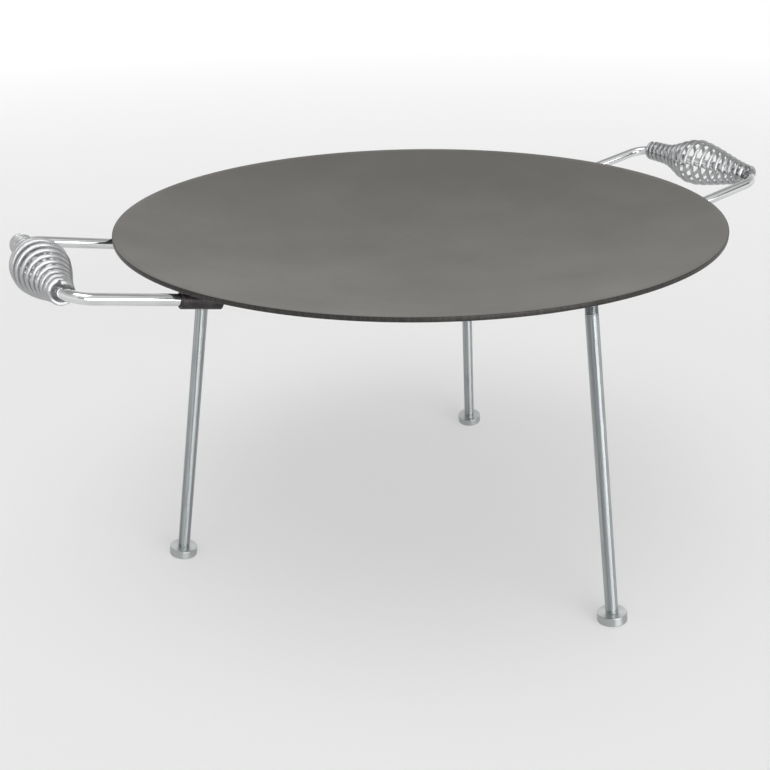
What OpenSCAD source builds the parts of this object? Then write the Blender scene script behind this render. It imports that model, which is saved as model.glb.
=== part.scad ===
// Round camp griddle plate on three screw-in legs, with two spring-grip handles.
// Millimetres, +Z up, +X along the handle line, origin on the ground under the plate's centre.
// The plate is a shallow dish, part of a sphere. Each leg stands square to its underside,
// and each handle arm lies along its slope, so both are placed from the sphere's centre.

/* [Plate] */
// Outside diameter of the plate
plate_d = 580; // [380:5:760]
// Thickness of the steel sheet
plate_t = 4; // [2:0.5:8]
// Depth of the dish, from the rim to the middle
dish_depth = 32; // [12:1:60]
// Bevel on the two corners of the rim
rim_break = 0.6; // [0.2:0.1:1.2]

/* [Legs] */
// Distance of each leg's upper end inside the plate's edge
leg_inset = 84; // [50:1:150]
// Length from the plate's underside to the ground face of the foot
leg_len = 330; // [200:5:500]
// Diameter of the leg rod, which is also the outside of its thread
leg_d = 12; // [8:0.5:16]
// Direction of the front leg, the other two being a third of a turn apart
leg_phase = -75; // [-90:1:-60]
// Pitch of the leg thread
thread_pitch = 1.75; // [1:0.25:2.5]
// Number of thread turns on each leg
thread_turns = 18; // [14:1:30]
// Free space between the end of a leg and the plate
leg_end_gap = 0.5; // [0.3:0.1:2]
// Bevel on the lead-in end of the thread
thread_lead = 1; // [0.5:0.1:2]
// Radial clearance of a leg in its socket
leg_fit = 0.08; // [0.05:0.01:0.1]

/* [Feet] */
// Diameter of a foot disc
foot_d = 28; // [20:1:60]
// Thickness of a foot disc
foot_t = 8.5; // [6:0.5:15]
// Bevel on the edges of a foot disc
foot_break = 0.9; // [0.3:0.1:2]
// Diameter of the spigot that joins a leg to its foot
spigot_d = 8; // [5:0.5:11]
// Length of that spigot inside the foot
spigot_len = 5; // [3:0.5:12]

/* [Leg sockets] */
// Outside diameter of a leg socket
socket_d = 22; // [16:1:30]
// Length of a leg socket below the plate
socket_len = 18; // [12:1:24]
// Bevel on the open end of a leg socket
socket_break = 1; // [0.3:0.1:2]
// Size of the weld bead round a leg socket
socket_bead = 3.2; // [1.5:0.1:5]

/* [Handles] */
// Diameter of the handle rod
rod_d = 10; // [6:0.5:14]
// Distance between the two arms of a handle
arm_gap = 180; // [120:2:240]
// Distance of the grip bar past the plate's edge
grip_out = 70; // [50:2:150]
// Bend radius of the handle rod, at its middle line
bend_r = 21; // [14:1:24]
// Length of sleeve left empty past the inner end of an arm
arm_short = 3; // [0.5:0.5:10]
// Bevel on the ends of the handle rod
rod_break = 1; // [0.3:0.1:2]

/* [Handle sleeves] */
// Outside diameter of a sleeve
sleeve_d = 15; // [12:0.5:22]
// Length of a sleeve
sleeve_len = 35; // [20:1:60]
// Distance of a sleeve's middle inside the plate's edge, along its arm
sleeve_inset = 20.7; // [14:0.1:60]
// Depth that a sleeve is ground away to seat on the plate
sleeve_seat = 0.3; // [0.1:0.1:1]
// Radial clearance of an arm in its sleeve
arm_fit = 0.08; // [0.05:0.01:0.1]
// Bevel on the ends of a sleeve
sleeve_break = 0.7; // [0.3:0.1:1.5]
// Size of the weld beads along a sleeve
sleeve_bead = 2.6; // [1.5:0.1:4]
// Length of the weld beads along a sleeve
sleeve_bead_len = 26; // [10:1:40]

/* [Grips] */
// Diameter of the spring wire
wire_d = 3.5; // [2:0.1:4]
// Length of a spring grip
grip_len = 154; // [100:2:156]
// Outside diameter of a spring grip at its two ends
grip_end_d = 21; // [20:0.5:26]
// Outside diameter of a spring grip at its bulge
grip_bulge_d = 49; // [30:1:60]
// Number of turns of a spring grip
grip_turns = 18; // [12:1:22]
// Share of the pitch that moves from the ends into the bulge
grip_spread = 0.2; // [0:0.02:0.3]
// Share of straight taper in the front half of the bulge
grip_front_taper = 0.5; // [0:0.05:1]
// Share of straight taper in the rear half of the bulge
grip_rear_taper = 0.15; // [0:0.05:1]
// Share of the rear half that the flare takes up, with a plain neck after it
grip_flare = 0.68; // [0.4:0.02:1]
// Distance by which the end turns are drawn in
grip_close = 1.7; // [0:0.1:1.8]

/* [View] */
// Sub-part to draw

/* [Hidden] */
$fn = 96;

// Facets round the two great spheres of the dish
dish_facets = 360;
// Spare length that lets one solid cut right through another
over = 1;

// Dish: radius of the cooking face, radius of the underside, radius of the rim
plate_r = plate_d / 2;
dish_r = (plate_r * plate_r + dish_depth * dish_depth) / (2 * dish_depth);
under_r = dish_r + plate_t;

// Legs: seat, lean from upright, and the height of the sphere's centre over the ground
leg_seat_r = plate_r - leg_inset;
leg_lean = asin(leg_seat_r / under_r);
foot_flat_r = foot_d / 2 - foot_break;
centre_z = (under_r + leg_len) * cos(leg_lean) + foot_flat_r * sin(leg_lean);
rim_z = centre_z - (dish_r - dish_depth);
rim_low_z = centre_z - sqrt(under_r * under_r - plate_r * plate_r);
leg_turn = 360 / 3;
front_turn = leg_phase;
right_turn = leg_phase + leg_turn;
left_turn = leg_phase + 2 * leg_turn;

// Thread: crest, root and length
leg_r = leg_d / 2;
thread_depth = 0.6134 * thread_pitch;
root_r = leg_r - thread_depth;
crest_flat = thread_pitch / 8;
thread_end = leg_end_gap + thread_turns * thread_pitch;
foot_top = leg_len - foot_t;
bore_r = leg_r + leg_fit;
socket_r = socket_d / 2;

// Rise of the underside at distance r from a leg line
function under_at(r) = sqrt(under_r * under_r - r * r) - under_r;

// Handles: place of the sleeves and grips from the rim, slope of the arms, sideways lean of the sleeve's seat
arm_y = arm_gap / 2;
rim_at_arm = sqrt(plate_r * plate_r - arm_y * arm_y);
sleeve_reach = rim_at_arm - sleeve_inset;
grip_reach = plate_r + grip_out;
sleeve_axis_r = under_r + sleeve_d / 2 - sleeve_seat;
sleeve_drop = sqrt(sleeve_axis_r * sleeve_axis_r - arm_y * arm_y - sleeve_reach * sleeve_reach);
sleeve_z = centre_z - sleeve_drop;
arm_slope = atan(sleeve_reach / sleeve_drop);
seat_lean = asin(arm_y / sleeve_axis_r);
arm_out = (grip_reach - sleeve_reach) / cos(arm_slope);
arm_in = sleeve_len / 2 - arm_short;
grip_z = sleeve_z + (grip_reach - sleeve_reach) * tan(arm_slope);
rod_r = rod_d / 2;
sleeve_r = sleeve_d / 2;

// Bends: thinning of the rod where it is bent, and the turn by which a bend runs into the straight rod
bend_thin = 0.03;
bend_lap = 1;

// Weld beads of a sleeve: sideways place and drop below the seat
bead_inset = 1.3;
bead_side = sleeve_r - bead_inset;
bead_drop = 1;

// Grip spring: wire rings per turn and wire sides, then the middle line of the wire
coil_steps = 8;
coil_sides = 6;
coil_n = grip_turns * coil_steps;
coil_end_r = (grip_end_d - wire_d) / 2;
coil_bulge_r = (grip_bulge_d - wire_d) / 2;
coil_span = grip_len - wire_d;
close_turns = 0.6;
wire_r = wire_d / 2;
// Outward shift of the rings that keeps the mean radius of a turn drawn with flats
coil_grow = (PI / coil_steps) / sin(180 / coil_steps);

// Even and rounded shares of a slope that runs from 1 at x = 0 to 0 at x = 1
function ease(x) = (1 + cos(180 * min(1, x))) / 2;

// Mixture of a and b, with share k of b
function mix(a, b, k) = (1 - k) * a + k * b;

// Bulge share at place s along the grip, 0 at the front end and 1 at the rear end
function bulge(s) = s < 0.5
    ? mix(ease(1 - 2 * s), 2 * s, grip_front_taper)
    : mix(ease((2 * s - 1) / grip_flare), 2 - 2 * s, grip_rear_taper);

// Place along the grip after n turns, with wide turns in the bulge and drawn-in ends
function coil_y(n) = coil_span * (n / grip_turns - 0.5)
    - coil_span * grip_spread * sin(360 * n / grip_turns) / (2 * PI)
    + grip_close * (exp(-n / close_turns) - exp((n - grip_turns) / close_turns));

// Longest reach of the middle line before it is scaled back to the stated grip length
coil_half = -coil_y(0);

// Point of the wire's middle line after n turns
function coil_at(n) =
    let (y = coil_y(n) * coil_span / (2 * coil_half))
    let (r = coil_end_r + (coil_bulge_r - coil_end_r) * bulge(y / coil_span + 0.5))
    [coil_grow * r * sin(360 * n), y, coil_grow * r * cos(360 * n)];

coil_line = [for (i = [0:coil_n]) coil_at(i / coil_steps)];

// Unit vector, and the direction of the wire at ring i
function unit(v) = v / norm(v);
function coil_dir(i) = unit(coil_line[min(coil_n, i + 1)] - coil_line[max(0, i - 1)]);

// Ring of wire points at ring i, square to the wire
function coil_ring(i) =
    let (p = coil_line[i])
    let (d = coil_dir(i))
    let (out = unit([p[0], 0, p[2]]))
    let (side = unit(cross(d, out)))
    let (up = cross(side, d))
    [for (k = [0:coil_sides - 1])
        p + wire_r * (cos(360 * k / coil_sides) * up + sin(360 * k / coil_sides) * side)];

coil_points = [for (i = [0:coil_n]) each coil_ring(i)];

// Two triangles for each side of each stretch of wire, then a fan on each wire end
function quad(i, k) =
    let (a = i * coil_sides + k)
    let (b = i * coil_sides + (k + 1) % coil_sides)
    [[a, b, b + coil_sides], [a, b + coil_sides, a + coil_sides]];

coil_faces = concat(
    [for (i = [0:coil_n - 1]) for (k = [0:coil_sides - 1]) each quad(i, k)],
    [for (k = [1:coil_sides - 2]) [0, k + 1, k]],
    [for (k = [1:coil_sides - 2])
        [coil_n * coil_sides, coil_n * coil_sides + k, coil_n * coil_sides + k + 1]]
);

// Least distance between wire middle lines that lie half a turn or more apart, less one wire
coil_gap = min([for (i = [0:coil_n - coil_steps / 2])
    for (j = [i + coil_steps / 2:min(coil_n, i + 2 * coil_steps)])
        norm(coil_line[i] - coil_line[j])]) - wire_d;
echo(grip_least_gap_to_itself = coil_gap);

// Places its children on a leg line: z = 0 at the plate's underside, z running down the leg
module on_leg(turn) {
    translate([0, 0, centre_z])
        rotate([0, 0, turn])
            rotate([0, 180 - leg_lean, 0])
                translate([0, 0, under_r])
                    children();
}

// Places its children on a right-hand arm: z = 0 at the sleeve's middle, z running outwards,
// x pointing away from the plate
module on_arm(side) {
    translate([sleeve_reach, side * arm_y, sleeve_z])
        rotate([0, 90 - arm_slope, 0])
            children();
}

// Everything inside the dish's outer sphere, used to fit a piece to the underside
module inside_under() {
    translate([0, 0, centre_z])
        sphere(r = under_r, $fn = dish_facets);
}

// Half section of the round blank: the bevelled rim over a wide cone
module rim_section() {
    polygon([
        [0, rim_low_z - plate_d / 8],
        [plate_r - rim_break - plate_d / 8, rim_low_z - plate_d / 8],
        [plate_r - rim_break, rim_low_z],
        [plate_r, rim_low_z + rim_break],
        [plate_r, rim_z - rim_break],
        [plate_r - rim_break, rim_z],
        [plate_r - rim_break, rim_z + over],
        [0, rim_z + over]
    ]);
}

// Dished steel plate
module griddle_plate() {
    color([0.22, 0.21, 0.2])
        intersection() {
            rotate_extrude($fn = dish_facets)
                rim_section();
            difference() {
                inside_under();
                translate([0, 0, centre_z])
                    sphere(r = dish_r, $fn = dish_facets);
            }
        }
}

// Half section of a leg socket, its upper face following the dish
module socket_section() {
    polygon([
        [bore_r, under_at(bore_r)],
        [socket_r, under_at(socket_r)],
        [socket_r, socket_len - socket_break],
        [socket_r - socket_break, socket_len],
        [bore_r + socket_break, socket_len],
        [bore_r, socket_len - socket_break]
    ]);
}

// Tapped boss that takes the screwed end of a leg
module socket(turn) {
    color([0.27, 0.26, 0.25])
        on_leg(turn)
            rotate_extrude()
                socket_section();
}

// Half section of the weld bead round a leg socket, with a full throat
module socket_weld_section() {
    throat = 0.68 * socket_bead;
    polygon([
        [socket_r, under_at(socket_r)],
        [socket_r + socket_bead, under_at(socket_r + socket_bead)],
        [socket_r + throat, throat],
        [socket_r, socket_bead]
    ]);
}

// Weld bead round a leg socket
module socket_weld(turn) {
    color([0.33, 0.31, 0.3])
        on_leg(turn)
            rotate_extrude()
                socket_weld_section();
}

// Half section of a sleeve
module sleeve_section() {
    bore = rod_r + arm_fit;
    half = sleeve_len / 2;
    polygon([
        [bore, -half],
        [sleeve_r - sleeve_break, -half],
        [sleeve_r, -half + sleeve_break],
        [sleeve_r, half - sleeve_break],
        [sleeve_r - sleeve_break, half],
        [bore, half]
    ]);
}

// Tube under the rim that an arm slides into
module sleeve(side) {
    color([0.27, 0.26, 0.25])
        difference() {
            on_arm(side)
                rotate_extrude()
                    sleeve_section();
            inside_under();
        }
}

// Two weld beads along a sleeve, flat where they meet the plate
module sleeve_weld(side) {
    color([0.33, 0.31, 0.3])
        difference() {
            on_arm(side)
                rotate([0, 0, side * seat_lean])
                    for (edge = [-1, 1])
                        translate([bead_drop - sleeve_r, edge * bead_side, -sleeve_bead_len / 2])
                            cylinder(r = sleeve_bead, h = sleeve_bead_len);
            on_arm(side)
                translate([0, 0, -sleeve_len])
                    cylinder(r = sleeve_r, h = 2 * sleeve_len);
            on_arm(side)
                rotate([0, 0, side * seat_lean])
                    translate([sleeve_seat - sleeve_r - sleeve_len, -sleeve_len, -sleeve_len])
                        cube([sleeve_len, 2 * sleeve_len, 2 * sleeve_len]);
        }
}

// Half section of a straight arm, from its bevelled tail to the start of the bend
module arm_section() {
    polygon([
        [0, -arm_in],
        [rod_r - rod_break, -arm_in],
        [rod_r, rod_break - arm_in],
        [rod_r, arm_out - bend_r],
        [0, arm_out - bend_r]
    ]);
}

// One straight arm
module arm(side) {
    on_arm(side)
        rotate_extrude()
            arm_section();
}

// Quarter bend between an arm and the grip bar, its ends running into the straight rod
module bend(side) {
    translate([sleeve_reach, 0, sleeve_z])
        rotate([0, -arm_slope, 0])
            translate([arm_out - bend_r, side * (arm_y - bend_r), 0])
                rotate([0, 0, (side > 0 ? 0 : -90) - bend_lap])
                    rotate_extrude(angle = 90 + 2 * bend_lap)
                        translate([bend_r, 0])
                            circle(r = rod_r - bend_thin);
}

// Straight bar that carries the grip
module grip_bar() {
    translate([grip_reach, bend_r - arm_y, grip_z])
        rotate([-90, 0, 0])
            cylinder(r = rod_r, h = arm_gap - 2 * bend_r);
}

// Bent rod of the right handle
module handle_rod() {
    color([0.75, 0.76, 0.78]) {
        arm(-1);
        bend(-1);
        grip_bar();
        bend(1);
        arm(1);
    }
}

// Bulged spring grip, turning loosely on the grip bar
module grip_coil(side) {
    color([0.8, 0.81, 0.83])
        translate([side * grip_reach, 0, grip_z])
            polyhedron(points = coil_points, faces = coil_faces, convexity = 10);
}

// Half section of a leg: lead-in, thread ridges, plain rod and the spigot for the foot
module leg_section() {
    half_gap = (thread_pitch - crest_flat) / 2;
    polygon(concat(
        [[0, leg_end_gap], [root_r - thread_lead, leg_end_gap], [root_r, leg_end_gap + thread_lead / 2]],
        [for (i = [1:thread_turns - 1])
            let (z = leg_end_gap + i * thread_pitch)
            each [[root_r, z], [leg_r, z + half_gap], [leg_r, z + half_gap + crest_flat]]],
        [[root_r, thread_end], [leg_r, thread_end + half_gap]],
        [[leg_r, foot_top], [spigot_d / 2, foot_top]],
        [[spigot_d / 2, foot_top + spigot_len], [0, foot_top + spigot_len]]
    ));
}

// Leg rod with its screw thread
module leg_rod(turn) {
    color([0.72, 0.75, 0.78])
        on_leg(turn)
            rotate_extrude()
                leg_section();
}

// Half section of a foot disc with its blind hole for the leg's spigot
module foot_section() {
    edge = foot_d / 2;
    polygon([
        [spigot_d / 2, foot_top],
        [edge - foot_break, foot_top],
        [edge, foot_top + foot_break],
        [edge, leg_len - foot_break],
        [edge - foot_break, leg_len],
        [0, leg_len],
        [0, foot_top + spigot_len],
        [spigot_d / 2, foot_top + spigot_len]
    ]);
}

// Round foot disc, square to its leg
module foot(turn) {
    color([0.7, 0.73, 0.76])
        on_leg(turn)
            rotate_extrude()
                foot_section();
}

griddle_plate();
socket(front_turn);  // socket_front
socket(right_turn);  // socket_right
socket(left_turn);  // socket_left
socket_weld(front_turn);  // socket_weld_front
socket_weld(right_turn);  // socket_weld_right
socket_weld(left_turn);  // socket_weld_left
sleeve(-1);  // sleeve_right_front
sleeve(1);  // sleeve_right_rear
rotate([0, 0, 180]) sleeve(1);  // sleeve_left_front
rotate([0, 0, 180]) sleeve(-1);  // sleeve_left_rear
sleeve_weld(-1);  // sleeve_weld_right_front
sleeve_weld(1);  // sleeve_weld_right_rear
rotate([0, 0, 180]) sleeve_weld(1);  // sleeve_weld_left_front
rotate([0, 0, 180]) sleeve_weld(-1);  // sleeve_weld_left_rear
handle_rod();  // handle_rod_right
rotate([0, 0, 180]) handle_rod();  // handle_rod_left
grip_coil(1);  // grip_coil_right
grip_coil(-1);  // grip_coil_left
leg_rod(front_turn);  // leg_rod_front
leg_rod(right_turn);  // leg_rod_right
leg_rod(left_turn);  // leg_rod_left
foot(front_turn);  // foot_front
foot(right_turn);  // foot_right
foot(left_turn);  // foot_left
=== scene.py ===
"""Looks of the camp griddle plate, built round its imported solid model.

The plate, its legs, sockets, sleeves, handles and spring grips are modelled
again as smooth pieces in the frame of the solid model, in metres, and each
piece rides on the body that it belongs to.
"""

import logging
from dataclasses import dataclass
from enum import Enum
from math import asin, atan, atan2, cos, exp, pi, radians, sin, sqrt
from typing import Optional, Sequence, Union

import bmesh
import bpy
from bmesh.types import BMEdge, BMesh, BMVert
from bpy.types import Material, Node, NodeSocket, NodeTree, Object
from mathutils import Matrix, Vector


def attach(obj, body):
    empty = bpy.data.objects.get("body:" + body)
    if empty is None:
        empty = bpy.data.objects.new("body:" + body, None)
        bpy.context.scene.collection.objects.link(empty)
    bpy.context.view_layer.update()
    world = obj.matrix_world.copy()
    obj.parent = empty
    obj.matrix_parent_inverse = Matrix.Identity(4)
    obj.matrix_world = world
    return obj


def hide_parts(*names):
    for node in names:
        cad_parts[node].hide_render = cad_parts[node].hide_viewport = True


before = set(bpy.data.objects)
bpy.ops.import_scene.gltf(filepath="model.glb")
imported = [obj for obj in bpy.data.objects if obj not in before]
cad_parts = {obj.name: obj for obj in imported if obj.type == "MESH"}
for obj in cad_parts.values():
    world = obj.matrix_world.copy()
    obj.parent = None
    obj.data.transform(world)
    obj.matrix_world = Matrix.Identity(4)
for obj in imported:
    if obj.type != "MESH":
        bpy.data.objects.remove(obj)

log = logging.getLogger("griddle")

MM = 0.001
FULL_TURN = 2 * pi
# Points nearer than this are one
NEAR = 1e-6
# Stretches across a rounded corner
CORNER_STEPS = 4

Colour = tuple[float, float, float]
Point = tuple[float, float, float]
Term = Union[NodeSocket, Vector, tuple[float, ...], float]
Inputs = dict[Union[int, str], Term]


class Named(Enum):
    """A choice whose name the solid model writes in small letters."""

    @property
    def label(self) -> str:
        """Name of this choice as the solid model writes it."""
        return self.name.lower()


class LegPlace(Named):
    """The three legs, each with its direction in degrees round the plate."""

    FRONT = -75.0
    RIGHT = 45.0
    LEFT = 165.0


class HandleSide(Named):
    """The two handles, each with the turn in degrees that places it."""

    RIGHT = 0.0
    LEFT = 180.0

    @property
    def sign(self) -> int:
        """1 on the +X side and -1 on the -X side."""
        return 1 if self is HandleSide.RIGHT else -1


class ArmRow(Named):
    """The two arms of a handle, by the sign of their Y."""

    FRONT = -1
    REAR = 1


class Crease(Enum):
    """Angles in degrees past which an edge of a piece stays sharp."""

    CRISP = 38.0
    ROUND = 50.0
    RIPPLED = 60.0


@dataclass(frozen=True)
class Layout:
    """Sizes that place the pieces, in metres, the same as in the solid model.

    The plate is part of a sphere. The legs stand square to its underside, and
    the handle arms lie along its slope.
    """

    plate_r: float = 290 * MM
    plate_t: float = 4 * MM
    dish_depth: float = 32 * MM
    leg_inset: float = 84 * MM
    leg_len: float = 330 * MM
    foot_r: float = 14 * MM
    foot_break: float = 0.9 * MM
    arm_gap: float = 180 * MM
    sleeve_r: float = 7.5 * MM
    sleeve_seat: float = 0.3 * MM
    sleeve_inset: float = 20.7 * MM
    grip_out: float = 70 * MM

    @property
    def dish_r(self) -> float:
        """Radius of the cooking face."""
        return (self.plate_r**2 + self.dish_depth**2) / (2 * self.dish_depth)

    @property
    def under_r(self) -> float:
        """Radius of the underside."""
        return self.dish_r + self.plate_t

    @property
    def lean(self) -> float:
        """Lean of a leg from upright, in radians."""
        return asin((self.plate_r - self.leg_inset) / self.under_r)

    @property
    def centre_z(self) -> float:
        """Height of the sphere's centre over the ground."""
        flat = self.foot_r - self.foot_break
        return (self.under_r + self.leg_len) * cos(self.lean) + flat * sin(self.lean)

    @property
    def arm_y(self) -> float:
        """Distance of an arm from the handle line."""
        return self.arm_gap / 2

    @property
    def sleeve_axis_r(self) -> float:
        """Distance of a sleeve's middle from the sphere's centre."""
        return self.under_r + self.sleeve_r - self.sleeve_seat

    @property
    def sleeve_reach(self) -> float:
        """Distance of a sleeve's middle from the plate's middle, along X."""
        return sqrt(self.plate_r**2 - self.arm_y**2) - self.sleeve_inset

    @property
    def sleeve_drop(self) -> float:
        """Drop of a sleeve's middle below the sphere's centre."""
        return sqrt(self.sleeve_axis_r**2 - self.arm_y**2 - self.sleeve_reach**2)

    @property
    def slope(self) -> float:
        """Slope of the handle arms, in radians."""
        return atan(self.sleeve_reach / self.sleeve_drop)

    @property
    def seat_lean(self) -> float:
        """Sideways lean of a sleeve's seat, in radians."""
        return asin(self.arm_y / self.sleeve_axis_r)

    @property
    def grip_reach(self) -> float:
        """Distance of the grip bar from the plate's middle, along X."""
        return self.plate_r + self.grip_out

    @property
    def arm_out(self) -> float:
        """Length along an arm from its sleeve's middle to the grip bar."""
        return (self.grip_reach - self.sleeve_reach) / cos(self.slope)

    @property
    def grip_z(self) -> float:
        """Height of the grip bar."""
        rise = (self.grip_reach - self.sleeve_reach) * sin(self.slope) / cos(self.slope)
        return self.centre_z - self.sleeve_drop + rise

    def under_at(self, r: float) -> float:
        """Rise of the underside at distance r from a leg line."""
        return sqrt(self.under_r**2 - r**2) - self.under_r

    def on_leg(self, place: LegPlace) -> Matrix:
        """Give the frame of a leg, with z running down it from the underside.

        Args:
            place: The leg that is meant.

        Returns:
            The matrix that takes the leg's own frame to the part's frame.
        """
        return (
            Matrix.Translation((0, 0, self.centre_z))
            @ Matrix.Rotation(radians(place.value), 4, "Z")
            @ Matrix.Rotation(pi - self.lean, 4, "Y")
            @ Matrix.Translation((0, 0, self.under_r))
        )

    def on_handle(self, side: HandleSide) -> Matrix:
        """Give the frame of a handle, with x running out along its arms.

        Args:
            side: The handle that is meant.

        Returns:
            The matrix whose origin lies midway between the two sleeves.
        """
        return (
            Matrix.Rotation(radians(side.value), 4, "Z")
            @ Matrix.Translation((self.sleeve_reach, 0, self.centre_z - self.sleeve_drop))
            @ Matrix.Rotation(-self.slope, 4, "Y")
        )

    def bar_middle(self, side: HandleSide) -> Matrix:
        """Shift from the origin to the middle of a grip bar."""
        return Matrix.Translation((side.sign * self.grip_reach, 0, self.grip_z))

    def on_bar(self, side: HandleSide) -> Matrix:
        """Frame of a grip bar at its middle, with z along the bar."""
        return self.bar_middle(side) @ Matrix.Rotation(-pi / 2, 4, "X")

    def on_arm(self, side: HandleSide, row: ArmRow) -> Matrix:
        """Frame of a sleeve, with z out along its arm and x away from the plate."""
        shift = Matrix.Translation((0, row.value * side.sign * self.arm_y, 0))
        return self.on_handle(side) @ shift @ Matrix.Rotation(pi / 2, 4, "Y")


class Shape:
    """A mesh in the making, with the moves that the pieces share."""

    def __init__(self) -> None:
        """Start with an empty mesh."""
        self.bm: BMesh = bmesh.new()

    def start(self, x: float, z: float) -> BMVert:
        """Put down the first point of an outline in the XZ plane."""
        return bmesh.ops.create_vert(self.bm, co=(x, 0, z))["vert"][0]

    def line(self, vert: BMVert, *points: tuple[float, float]) -> BMVert:
        """Draw straight stretches of an outline.

        Args:
            vert: The last point so far.
            points: The x and z of each next corner.

        Returns:
            The new last point.
        """
        for x, z in points:
            vert = bmesh.ops.extrude_vert_indiv(self.bm, verts=[vert])["verts"][0]
            vert.co = (x, 0, z)
        return vert

    def arc(
        self, vert: BMVert, x: float, z: float, angle: float, steps: int = CORNER_STEPS
    ) -> BMVert:
        """Draw a round stretch of an outline.

        Args:
            vert: The last point so far.
            x: Centre of the arc.
            z: Centre of the arc.
            angle: Turn about +Y in radians.
            steps: Number of stretches.

        Returns:
            The new last point.
        """
        made = bmesh.ops.spin(
            self.bm, geom=[vert], cent=(x, 0, z), axis=(0, 1, 0), angle=angle, steps=steps
        )
        return [g for g in made["geom_last"] if isinstance(g, BMVert)][0]

    def close(self, first: BMVert, last: BMVert) -> None:
        """Join the two ends of an outline."""
        self.bm.edges.new((last, first))

    def turn(self, sides: int, turns: int = 1, pitch: float = 0.0) -> None:
        """Spin the outline about Z, round and closed or along a screw line.

        Args:
            sides: Number of steps to a turn.
            turns: Number of turns.
            pitch: Rise to a turn, or 0 for a round form.
        """
        bmesh.ops.spin(
            self.bm,
            geom=self.bm.verts[:] + self.bm.edges[:],
            cent=(0, 0, 0),
            axis=(0, 0, 1),
            dvec=(0, 0, pitch / sides),
            angle=FULL_TURN * turns,
            steps=sides * turns,
            use_merge=pitch == 0,
        )
        self.tidy()

    def ring(self, radius: float, sides: int, place: Matrix) -> list[BMEdge]:
        """Put down the open ring that a rod grows from.

        Args:
            radius: Radius of the rod.
            sides: Number of sides of the rod.
            place: Frame of the ring, with the rod running along its z.

        Returns:
            The edges of the ring.
        """
        made = bmesh.ops.create_circle(
            self.bm, cap_ends=False, radius=radius, segments=sides, matrix=place
        )
        return list({e for v in made["verts"] for e in v.link_edges})

    def grow(self, edges: Sequence[BMEdge], move: Matrix) -> list[BMEdge]:
        """Extrude a ring and carry the new ring on by a move.

        Args:
            edges: The ring so far.
            move: Where the new ring goes.

        Returns:
            The edges of the new ring.
        """
        made = bmesh.ops.extrude_edge_only(self.bm, edges=list(edges))["geom"]
        bmesh.ops.transform(
            self.bm, matrix=move, verts=[g for g in made if isinstance(g, BMVert)]
        )
        return [g for g in made if isinstance(g, BMEdge) and len(g.link_faces) == 1]

    def bend(self, edges: Sequence[BMEdge], x: float, y: float, steps: int) -> list[BMEdge]:
        """Carry a ring round a quarter turn about an upright axis.

        Args:
            edges: The ring so far.
            x: Place of the axis.
            y: Place of the axis.
            steps: Number of stretches.

        Returns:
            The edges of the last ring.
        """
        made = bmesh.ops.spin(
            self.bm, geom=list(edges), cent=(x, y, 0), axis=(0, 0, 1), angle=pi / 2, steps=steps
        )
        return [g for g in made["geom_last"] if isinstance(g, BMEdge)]

    def cap(self, edges: Sequence[BMEdge], bevel: float = 0.0, segments: int = 3) -> None:
        """Close a ring with a flat face and break its edge.

        Args:
            edges: The ring to close.
            bevel: Size of the rounded edge, or 0 for a sharp one.
            segments: Number of stretches across the rounded edge.
        """
        bmesh.ops.edgeloop_fill(self.bm, edges=list(edges))
        if bevel > 0:
            bmesh.ops.bevel(
                self.bm,
                geom=list(edges),
                offset=bevel,
                segments=segments,
                profile=0.5,
                affect="EDGES",
                material=-1,
                clamp_overlap=True,
            )

    def cut(self, point: Point, normal: Point) -> list[BMEdge]:
        """Cut away what lies on the normal's side of a plane.

        Args:
            point: A point on the plane.
            normal: Direction of the side that goes.

        Returns:
            The edges of the cut.
        """
        made = bmesh.ops.bisect_plane(
            self.bm,
            geom=self.bm.verts[:] + self.bm.edges[:] + self.bm.faces[:],
            dist=NEAR / 10,
            plane_co=point,
            plane_no=normal,
            clear_outer=True,
        )
        return [g for g in made["geom_cut"] if isinstance(g, BMEdge)]

    def tidy(self) -> None:
        """Merge doubled points and turn every face outwards."""
        bmesh.ops.remove_doubles(self.bm, verts=self.bm.verts[:], dist=NEAR)
        bmesh.ops.dissolve_degenerate(self.bm, dist=NEAR / 10, edges=self.bm.edges[:])
        bmesh.ops.recalc_face_normals(self.bm, faces=self.bm.faces[:])

    def move(self, place: Matrix) -> "Shape":
        """Carry the whole mesh to its place and give it back."""
        bmesh.ops.transform(self.bm, matrix=place, verts=self.bm.verts[:])
        return self

    def piece(self, name: str, finish: Material, crease: Crease = Crease.CRISP) -> Object:
        """Make the finished object.

        Args:
            name: Name of the piece.
            finish: Its material.
            crease: Which of its edges stay sharp.

        Returns:
            The object, at the origin, with its place in its mesh.
        """
        mesh = bpy.data.meshes.new(name)
        self.bm.to_mesh(mesh)
        self.bm.free()
        mesh.polygons.foreach_set("use_smooth", [True] * len(mesh.polygons))
        mesh.set_sharp_from_angle(angle=radians(crease.value))
        mesh.materials.append(finish)
        obj = bpy.data.objects.new(name, mesh)
        bpy.context.scene.collection.objects.link(obj)
        return obj


def dress(obj: Object, body: str, node: str) -> None:
    """Hang a finished piece on its body in place of its solid node.

    Args:
        obj: The finished piece.
        body: Name of the body that carries it.
        node: Name of the solid node that it stands for.
    """
    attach(obj, body)
    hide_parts(node)
    log.info("%s: %d faces on %s", obj.name, len(obj.data.polygons), body)


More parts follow.
